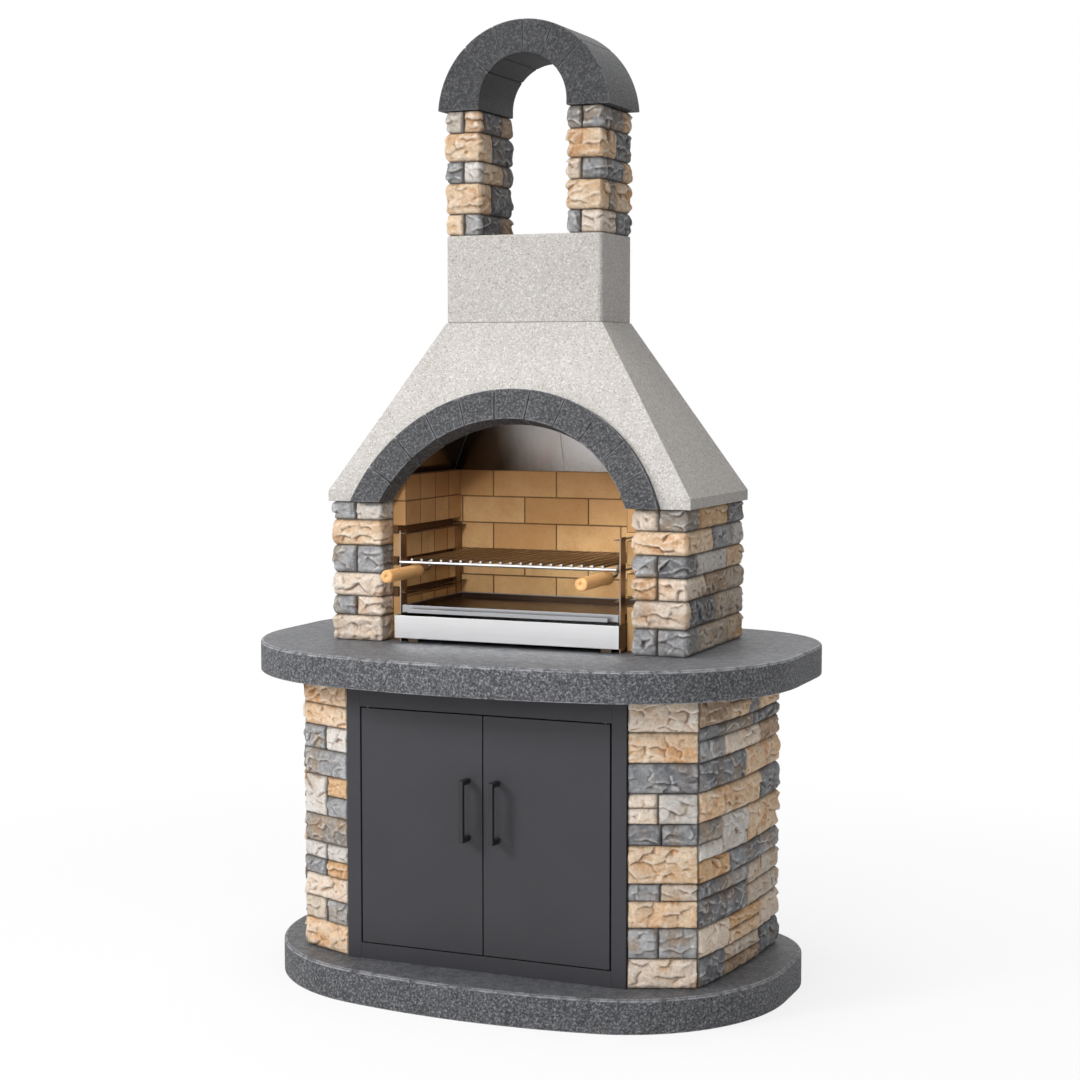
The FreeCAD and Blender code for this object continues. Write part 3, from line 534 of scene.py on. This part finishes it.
# Split faces: the step between points, the round of the edges, the swell, and where it is full
ROCK_STEP = 0.0026
ROCK_ROUND = 0.006
ROCK_BULGE = 0.0045
ROCK_RIM = 0.011
# The longest side of a plan that is a chamfer, and the width of a joint
CHAMFER_MOST = 0.012
JOINT_WIDE = 0.0038
# The height of a full ridge or hollow
CAVITY_FULL = 0.0013
# Flakes: the area of one, its squeeze along each axis, and how sharp the lips between them are
FACET_AREA = 0.00044
FACET_SQUEEZE = (0.65, 0.65, 1.0)
FACET_CRISP = 36000.0
# How far flakes tilt sideways, how far they lean back with height and how much that varies
FACET_TILT = 0.2
FACET_LEAN = (-0.2, 0.17)
# How far flakes lift, sink and stand out at most, and how far their outlines waver
FACET_LIFT = 0.0016
FACET_SINK = 0.0005
FACET_MOST = 0.0028
FACET_WAVER = 0.006


def plan_of(spots):
    """The plan of a block as its corners in anticlockwise order."""
    corners = sorted({(round(x, 5), round(y, 5)) for x, y, _ in spots})
    ring = []
    for line in (corners, corners[::-1]):
        chain = []
        for corner in line:
            while len(chain) > 1:
                (ax, ay), (bx, by) = chain[-2:]
                if (bx - ax) * (corner[1] - by) - (by - ay) * (corner[0] - bx) > 1e-9:
                    break
                chain.pop()
            chain.append(corner)
        ring += chain[:-1]
    return np.array(ring)


def run_lengths(gaps, is_open):
    """How far each point of a ring lies from the last joint before it; far off if there is none."""
    far = np.full(len(gaps), 1.0)
    for index in list(range(len(gaps))) * 2:
        far[index] = min(1.0, far[index - 1] + gaps[index - 1]) if is_open[index - 1] else 0.0
    return far


def ring_of(spots, sides):
    """Points round a stone, close together on open sides.

    Returns places, outward ways, distances to a joint, and which points belong to an open side.
    """
    corners = plan_of(spots)
    steps = np.roll(corners, -1, axis=0) - corners
    lengths = np.linalg.norm(steps, axis=1)
    ways = np.stack((steps[:, 1], -steps[:, 0]), axis=1) / lengths[:, None]
    middles = corners + steps / 2
    bare = np.array([length > CHAMFER_MOST and any(
        side[0][:2] @ way > 0.99 and abs((middle - side[1][:2]) @ way) < NEAR for side in sides)
        for way, middle, length in zip(ways, middles, lengths)])
    bare |= (lengths <= CHAMFER_MOST) & (np.roll(bare, 1) | np.roll(bare, -1))
    places, normals, gaps, is_open = [], [], [], []
    for index, length in enumerate(lengths):
        count = math.ceil(length / ROCK_STEP) if bare[index] else 1
        for part in range(count):
            places.append(corners[index] + steps[index] * part / count)
            normals.append(ways[index] if part else ways[index] + ways[index - 1])
            gaps.append(length / count)
            is_open.append(bare[index])
    normals = np.array(normals)
    before = run_lengths(gaps, is_open)
    after = run_lengths(gaps[::-1][1:] + gaps[-1:], is_open[::-1][1:] + is_open[-1:])[::-1]
    normals /= np.linalg.norm(normals, axis=1)[:, None]
    return np.array(places), normals, np.minimum(before, after), np.array(is_open) | np.roll(is_open, 1)


def rows_of(low, high):
    """Heights of the point rows of a stone and how far its rounded edges draw in there."""
    bends = np.radians((0, 25, 50, 75))
    near, drawn = ROCK_ROUND * (1 - np.cos(bends)), ROCK_ROUND * (1 - np.sin(bends))
    count = max(2, math.ceil((high - low - 2 * ROCK_ROUND) / ROCK_STEP) + 1)
    heights = np.linspace(low + ROCK_ROUND, high - ROCK_ROUND, count)
    return (np.concatenate((low + near, heights, high - near[::-1])),
            np.concatenate((drawn, np.zeros(count), drawn[::-1])))


def sampled(spots, scale, octaves, seed):
    """Fractal noise at points, with scale in cells to the metre along each axis."""
    return np.array([noise.fractal(Vector(spot), 0.75, 2.2, octaves) for spot in spots * scale + seed])


def broken_facets(spots, count, chance):
    """Tilted flats side by side, each with a lip at its lower edge, as where flakes broke off."""
    middles = spots[[chance.randrange(len(spots)) for _ in range(count)]]
    tilts = np.array([[chance.gauss(0, FACET_TILT), chance.gauss(0, FACET_TILT), chance.gauss(*FACET_LEAN)]
                      for _ in middles])
    lifts = np.array([chance.uniform(-FACET_LIFT, FACET_LIFT) for _ in middles])
    away = spots[:, None, :] - middles[None, :, :]
    heights = lifts + np.sum(away * tilts, axis=2)
    nearness = -FACET_CRISP * np.sum((away * FACET_SQUEEZE) ** 2, axis=2)
    shares = np.exp(nearness - nearness.max(axis=1, keepdims=True))
    return np.sum(shares * heights, axis=1) / np.sum(shares, axis=1)


def split_relief(spots, rim, count, chance):
    """How far split rock stands out at each point: a full face, broken facets and grain."""
    seed = np.array([chance.uniform(0, 90) for _ in range(3)])
    full = ease(rim, 0.0, ROCK_RIM)
    wave = np.column_stack([sampled(spots, 30, 2, seed + 30 * axis) for axis in range(3)])
    flakes = broken_facets(spots + FACET_WAVER * wave, count, chance)
    broken = np.minimum(flakes - FACET_SINK, FACET_MOST)
    grain = 0.0010 * sampled(spots, 40, 3, seed) + 0.0006 * sampled(spots, 110, 3, seed)
    return ROCK_BULGE * (full - 0.7) + (0.3 + 0.7 * full) * broken + grain


def cavity(relief, tall):
    """1 on ridges and -1 in hollows, from how each point stands against those around it."""
    grid = relief.reshape(tall, -1)
    soft = grid
    for _ in range(2):
        soft = (np.roll(soft, 1, axis=1) + soft + np.roll(soft, -1, axis=1)) / 3
        padded = np.pad(soft, ((1, 1), (0, 0)), "edge")
        soft = (padded[:-2] + padded[1:-1] + padded[2:]) / 3
    return np.clip((grid - soft).ravel() / CAVITY_FULL, -1, 1)


def rock(spots, sides, chance, held):
    """A stone with split open sides: points, faces, cavities and joints; held is where it stays flat."""
    places, ways, reach, loose = ring_of(spots, sides)
    heights = [spot[2] for spot in spots]
    rows, drawn = rows_of(min(heights), max(heights))
    around, tall = len(places), len(rows)
    points = np.column_stack((np.tile(places, (tall, 1)), np.repeat(rows, around)))
    outward, reach = np.tile(ways, (tall, 1)), np.tile(reach, tall)
    depth = np.repeat(np.minimum(rows - rows[0], rows[-1] - rows), around)
    rim = reach + depth - np.hypot(reach, depth)
    rim = np.maximum(0.0, rim + np.minimum(rim, 0.003) * sampled(points, 45, 2, chance.uniform(0, 90)))
    area = np.sum(reach > 0) * ROCK_STEP ** 2
    relief = split_relief(points, rim, max(5, round(area / FACET_AREA)), chance)
    weight = np.tile(loose, tall) * (0.6 + 0.4 * ease(reach, 0.0, NEAR))
    out = weight * ((1 - held(points, outward)) * relief - np.repeat(drawn, around))
    points[:, :2] += out[:, None] * outward
    ring = np.arange(around)
    faces = [tuple(ring[::-1]), tuple(ring + around * (tall - 1))]
    for row in range(tall - 1):
        low, high = ring + row * around, ring + (row + 1) * around
        faces += zip(low, np.roll(low, -1), np.roll(high, -1), high)
    return points, faces, cavity(relief, tall) * weight, 1 - ease(rim, 0.0, JOINT_WIDE)


# Kinds of stone, from cream to dark grey, with the colours of the stone, its pale patches and its stains
PALETTE = {
    "C": ((238, 216, 194), (247, 233, 219), (228, 188, 148)),
    "T": ((234, 197, 158), (248, 225, 197), (216, 162, 110)),
    "O": ((218, 172, 124), (232, 196, 152), (198, 144, 92)),
    "B": ((206, 190, 172), (224, 211, 196), (204, 168, 132)),
    "W": ((172, 144, 118), (206, 178, 150), (142, 114, 90)),
    "L": ((214, 208, 202), (230, 224, 218), (200, 182, 164)),
    "G": ((142, 143, 146), (194, 194, 196), (168, 146, 122)),
    "K": ((128, 123, 118), (176, 165, 154), (166, 138, 112)),
    "D": ((99, 101, 107), (160, 161, 164), (132, 115, 99)),
}
# Stones in the order they are laid, from the bottom: first the front of a wall, then its side
STONES = {
    "base_stones_right": "C GG T GB T DD CCL D T C" + " DWBD CTOC DDDGBB ODG LKLT TTD DT GCW DKD WTWDT",
    "base_stones_left": "T GB C OD LL K GOL G LG T T" + " TTWDG DKD CWG DT TDT LKLT ODG DDDGBB CTOC DWBD",
    "pillar_stones_right": "GGBT CDB TCWB GDLT TGL CKOD",
    "pillar_stones_left": "CKT CGKD CTG GGKD TWG LGKT",
    "chimney_stones_right": "GCD TKT CGDT TD GGKT",
    "chimney_stones_left": "GTDW TD LGTK TD TLDW",
}
# How light the stones of each wall are: the base lightest, the pillars and the chimney darker
LEVELS = {"base": 1.06, "pillar": 0.96, "chimney": 0.93}


def lie_open(name, way, middle):
    """Whether a side of a stone is open, and not against the cabinet or a panel."""
    outward = way[0] * (1 if name.endswith("right") else -1)
    if name.startswith("base"):
        return outward > -0.3 and (way[1] < 0.5 or middle[1] > 0.2)
    return True


def held_flat(name):
    """Where a wall's stones stay flat: beside the lining of the fire chamber."""
    hand = 1 if name.endswith("right") else -1
    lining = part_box("side_firebricks_right")[0].y

    def share(points, outward):
        inward = (outward[:, 0] * hand < -0.5) & name.startswith("pillar")
        return inward * ease(points[:, 1], lining - 0.016, lining - 0.005)
    return share


def stone_wall(name):
    """Every stone of a wall as a block of split rock in its own colours."""
    chance = random.Random(name)
    blocks = solids(name)
    held = held_flat(name)
    level = LEVELS[name.split("_")[0]]
    spots, faces = [], []
    values = {"tint": [], "patch": [], "stain": [], "cavity": [], "joint": []}
    for block, sides, code in zip(blocks, free_sides(blocks), STONES[name].replace(" ", ""), strict=True):
        sides = [side for side in sides if lie_open(name, side[0], side[1])]
        points, skin, stand, joint = rock(block[0], sides, chance, held)
        faces.extend(tuple(len(spots) + corner for corner in face) for face in skin)
        spots.extend(points)
        swing = level * chance.uniform(0.95, 1.04)
        for label, tone in zip(("tint", "patch", "stain"), PALETTE[code]):
            share = min(swing, 255 / max(tone))
            shade = colour(*(channel * share for channel in tone))
            values[label].extend([shade] * len(points))
        values["cavity"].extend(stand)
        values["joint"].extend(joint)
    piece(name + "_rock", mesh_of(name + "_rock", spots, faces, **values), [name])


for name in STONES:
    stone_wall(name)


# Slabs, and the two arches with their joints


SLAB_EDGE = 0.006
for name in ("worktop_left", "worktop_right", "plinth_left", "plinth_right"):
    piece(name + "_cast", bevelled(name, SLAB_EDGE, 3), [name])


def crown_arc():
    """Springing height and radius of the half round under the chimney arch."""
    spots = np.array([spot for points, _ in solids("chimney_arch_stones") for spot in points])
    at_foot = spots[:, 2] < spots[:, 2].min() + 0.001
    at_middle = np.abs(spots[:, 0]) < 0.001
    radius = np.abs(spots[at_foot, 0]).min()
    return spots[at_middle, 2].min() - radius, radius


ARCH_EDGE = 0.003
ARCH_JOINT = 0.0025
CROWN_SPRING, CROWN_INSIDE = crown_arc()
# Both arches are painted darker than the slabs of the same concrete, as painted shade; the chimney arch is
# darkest.
ARCHES = {
    "hood_arch_stones": dark_concrete("hood_arch_look", 0.76, 0.0),
    "chimney_arch_stones": dark_concrete("chimney_arch_look", 0.66, 0.0, (CROWN_SPRING, CROWN_INSIDE)),
}
for name, material in ARCHES.items():
    piece(name + "_cast", bevelled(name, ARCH_EDGE, 3, gap=ARCH_JOINT), [name], material)

# How far the mortar lies behind the stones, and how far it reaches to each side of the top
MORTAR_BACK = 0.005
MORTAR_REACH = math.radians(60)
MORTAR_STEPS = 24


def crown_mortar():
    """Mortar that closes the joints of the chimney arch: a curved bar between an inner and an outer arc."""
    low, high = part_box("chimney_arch_stones")
    half = (high.x - low.x) / 2
    arcs = ((CROWN_INSIDE + MORTAR_BACK, CROWN_SPRING), (half - MORTAR_BACK, high.z - half))
    spots = [(radius * math.sin(angle), y, middle + radius * math.cos(angle))
             for angle in np.linspace(-MORTAR_REACH, MORTAR_REACH, MORTAR_STEPS + 1)
             for y in (low.y + MORTAR_BACK, high.y - MORTAR_BACK) for radius, middle in arcs]
    faces = [(0, 1, 3, 2), tuple(4 * MORTAR_STEPS + corner for corner in (0, 2, 3, 1))]
    for step in range(0, 4 * MORTAR_STEPS, 4):
        for near, far in ((0, 2), (2, 3), (3, 1), (1, 0)):
            faces.append((step + near, step + far, step + far + 4, step + near + 4))
    mesh = mesh_of("chimney_arch_mortar", spots, faces)
    piece("chimney_arch_mortar", mesh, ["chimney_arch_stones"], dark_mortar())


crown_mortar()


# Hood, chimney block, lining, cabinet and fire insert with soft edges


CAST_EDGES = {"hood": 0.005, "chimney_block": 0.004, "base_back_panel": 0.003, "firebox_back_panel": 0.003}
for name, width in CAST_EDGES.items():
    piece(name + "_soft", bevelled(name, width, 3), [name])

# A brick lower than this lies in a groove for the rails
GROOVE_MOST = 0.025
BRICK_EDGE = 0.0022
for name in ("side_firebricks_left", "side_firebricks_right", "back_firebricks"):
    chance = random.Random(name)
    # Bricks in the grooves get the tint that the firebrick look turns into painted shade.
    tints = [GROOVE_SHADE_TINT if np.ptp(np.array(spots)[:, 2]) < GROOVE_MOST else chance.random()
             for spots, _ in solids(name)]
    piece(name + "_soft", bevelled(name, BRICK_EDGE, 3, shares=tints), [name])

FOLD_EDGE = 0.0012
for name in ("frame_stile_left", "frame_stile_right", "frame_top_rail", "frame_bottom_rail",
             "door_left", "door_right", "door_handle_left", "door_handle_right"):
    piece(name + "_soft", bevelled(name, FOLD_EDGE, 2), [name])

SHEET_EDGE = 0.0004
BRIGHT = colour(216, 216, 218)
BROWNED = colour(112, 98, 84)
tray_low, tray_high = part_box("charcoal_tray")
post_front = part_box("insert_posts")[0].y
# Steel bright on front faces and dark elsewhere: painted highlight and painted shade.
FRONT_LIT = {
    "ash_drawer": front_lit_steel("drawer_look", colour(234, 234, 235), colour(70, 56, 46),
                               stretch=(0.02, 1, 1)),
    "charcoal_tray": front_lit_steel("tray_look", colour(176, 177, 180), colour(88, 71, 58),
                                  tray_low.y, tray_high.z),
    "insert_posts": front_lit_steel("post_look", colour(170, 160, 150), colour(146, 120, 94), post_front),
    "insert_rails": front_lit_steel("rail_look", BROWNED, colour(86, 74, 62)),
    "drawer_runners": front_lit_steel("runner_look", BROWNED, colour(72, 66, 60)),
}
for name, material in FRONT_LIT.items():
    piece(name + "_soft", bevelled(name, SHEET_EDGE, 2), [name], material)

# Painted reflection: the liner is dark brown on the left and near its top, and bright on the right and near
# its foot
LINER_DARK, LINER_BRIGHT = -0.14, 0.16
liner_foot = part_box("hood_liner_back_right")[0].z
LINER = liner_steel(LINER_DARK, LINER_BRIGHT, liner_foot + 0.28, liner_foot + 0.02)
# The grid and pins likewise get a painted highlight on front faces and painted shade elsewhere.
GRID = front_lit_steel("grid_look", BRIGHT, colour(146, 128, 108))
PIN = front_lit_steel("pin_look", BROWNED, colour(60, 60, 62))
PLAIN = {"cooking_grid": GRID, "grid_handle_stems": GRID, "door_pivot_pins": PIN}
for place in ("back_left", "back_right", "side_left", "side_right"):
    PLAIN["hood_liner_" + place] = LINER
for name, material in PLAIN.items():
    frame["nodes"][name].data.materials[0] = material


# Turned handles


# The outline of a handle in shares of its radius and its length, from the hole in its front end
HANDLE_TURNING = [
    (0.10, 0.012), (0.20, 0.004), (0.22, 0.0), (0.80, 0.0), (0.90, 0.006), (0.97, 0.018), (1.0, 0.04),
    (0.99, 0.2), (0.975, 0.4), (0.96, 0.6), (0.94, 0.68), (0.89, 0.75), (0.87, 0.78), (0.90, 0.80),
    (1.0, 0.825), (1.04, 0.85), (1.05, 0.89), (1.04, 0.93), (1.0, 0.96), (0.92, 0.985), (0.80, 1.0),
    (0.20, 1.0),
]
# How many radii the thickest part of a handle measures across
HANDLE_SWELL = 2.08
TURN_STEPS = 48


def turned_handle(name):
    """A wooden handle turned about its length, with a small hole in its front end."""
    low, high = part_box(name)
    middle, radius = (low + high) / 2, (high.z - low.z) / HANDLE_SWELL
    spots, faces = [], []
    for share, along in HANDLE_TURNING:
        for step in range(TURN_STEPS):
            angle = 2 * math.pi * step / TURN_STEPS
            spots.append((middle.x + radius * share * math.cos(angle), low.y + along * (high.y - low.y),
                          middle.z + radius * share * math.sin(angle)))
    for ring in range(len(HANDLE_TURNING) - 1):
        for step in range(TURN_STEPS):
            after = (step + 1) % TURN_STEPS
            near, far = ring * TURN_STEPS, (ring + 1) * TURN_STEPS
            faces.append((near + step, near + after, far + after, far + step))
    faces.append(tuple(range(TURN_STEPS))[::-1])
    faces.append(tuple(range(len(spots) - TURN_STEPS, len(spots))))
    piece(name + "_turned", mesh_of(name + "_turned", spots, faces), [name])


for name in ("grid_handle_left", "grid_handle_right"):
    turned_handle(name)


# Floor, light and camera


def floor():
    """A pale floor that keeps the shadow near the barbecue and turns white further off."""
    bpy.ops.mesh.primitive_plane_add(size=60)
    plane = bpy.context.object
    plane.name = "floor"
    look = Look("floor_look", 0.9)
    look.paint((0.86, 0.86, 0.86))
    glow = look.add("ShaderNodeEmission", Color=(1, 1, 1), Strength=1.0)
    reach = look.add("ShaderNodeVectorMath", Vector=look.place)
    reach.operation = "LENGTH"
    share = look.add("ShaderNodeMapRange", Value=reach.outputs["Value"], From_Min=0.7, From_Max=2.6,
                     To_Min=0.82)
    ray = look.add("ShaderNodeLightPath")
    blend = look.add("ShaderNodeMixShader")
    seen = look.maths("MAXIMUM", ray.outputs["Is Camera Ray"], ray.outputs["Is Glossy Ray"])
    look.give(blend.inputs[0], look.maths("MULTIPLY", seen, share.outputs[0]))
    look.give(blend.inputs[1], look.shader.outputs[0])
    look.give(blend.inputs[2], glow.outputs[0])
    look.give(look.tree.nodes["Material Output"].inputs["Surface"], blend.outputs[0])
    plane.data.materials.append(look.material)


def sky():
    """White to the eye and in reflections, and a softer light on everything else."""
    world = bpy.data.worlds.new("studio")
    world.use_nodes = True
    bpy.context.scene.world = world
    nodes, links = world.node_tree.nodes, world.node_tree.links
    ray = nodes.new("ShaderNodeLightPath")
    seen = ray.outputs["Is Camera Ray"]
    for kind in ("Is Glossy Ray", "Is Transmission Ray"):
        either = nodes.new("ShaderNodeMath")
        either.operation = "MAXIMUM"
        links.new(seen, either.inputs[0])
        links.new(ray.outputs[kind], either.inputs[1])
        seen = either.outputs[0]
    level = nodes.new("ShaderNodeMapRange")
    level.inputs["To Min"].default_value = 0.26
    level.inputs["To Max"].default_value = 1.0
    links.new(seen, level.inputs["Value"])
    links.new(level.outputs[0], nodes["Background"].inputs["Strength"])
    nodes["Background"].inputs["Color"].default_value = (1, 1, 1, 1)


def lamp(name, at, aim, wide, power, cone=180):
    """A square lamp that shines from one place towards another, within a cone in degrees."""
    data = bpy.data.lights.new(name, "AREA")
    data.size = wide
    data.spread = math.radians(cone)
    data.energy = power
    obj = bpy.data.objects.new(name, data)
    obj.location = at
    obj.rotation_euler = (Vector(aim) - Vector(at)).to_track_quat("-Z", "Y").to_euler()
    bpy.context.collection.objects.link(obj)


CAMERA_PLACE = (1.9006, -4.4605, 1.4076)
CAMERA_TILT = math.radians(85.468)
CAMERA_TURN = math.radians(22.768)
CAMERA_LENS = 70.42
CAMERA_SENSOR = 36


def camera():
    """A camera at the angle of the photograph."""
    data = bpy.data.cameras.new("camera")
    data.sensor_width = CAMERA_SENSOR
    data.lens = CAMERA_LENS
    obj = bpy.data.objects.new("camera", data)
    obj.location = CAMERA_PLACE
    obj.rotation_euler = Euler((CAMERA_TILT, 0, CAMERA_TURN))
    bpy.context.collection.objects.link(obj)
    bpy.context.scene.camera = obj


floor()
sky()
lamp("key", (-3.0, -3.6, 3.0), (0, 0, 0.9), 1.2, 148)
lamp("top", (-0.3, -0.8, 5.2), (0, 0, 0.9), 2.0, 108)
lamp("front", (0.1, -5.0, 2.2), (0, 0, 1.0), 1.0, 55)
lamp("fill", (3.6, -3.2, 2.4), (0, 0, 0.9), 2.0, 25)
lamp("back", (0.6, 4.2, 3.8), (0, 0, 1.0), 2.0, 24)
lamp("chamber", (0.3, -2.6, 2.1), (0, 0.2, 0.92), 0.3, 0.65, 24)
camera()
bpy.context.scene.view_settings.view_transform = "Standard"
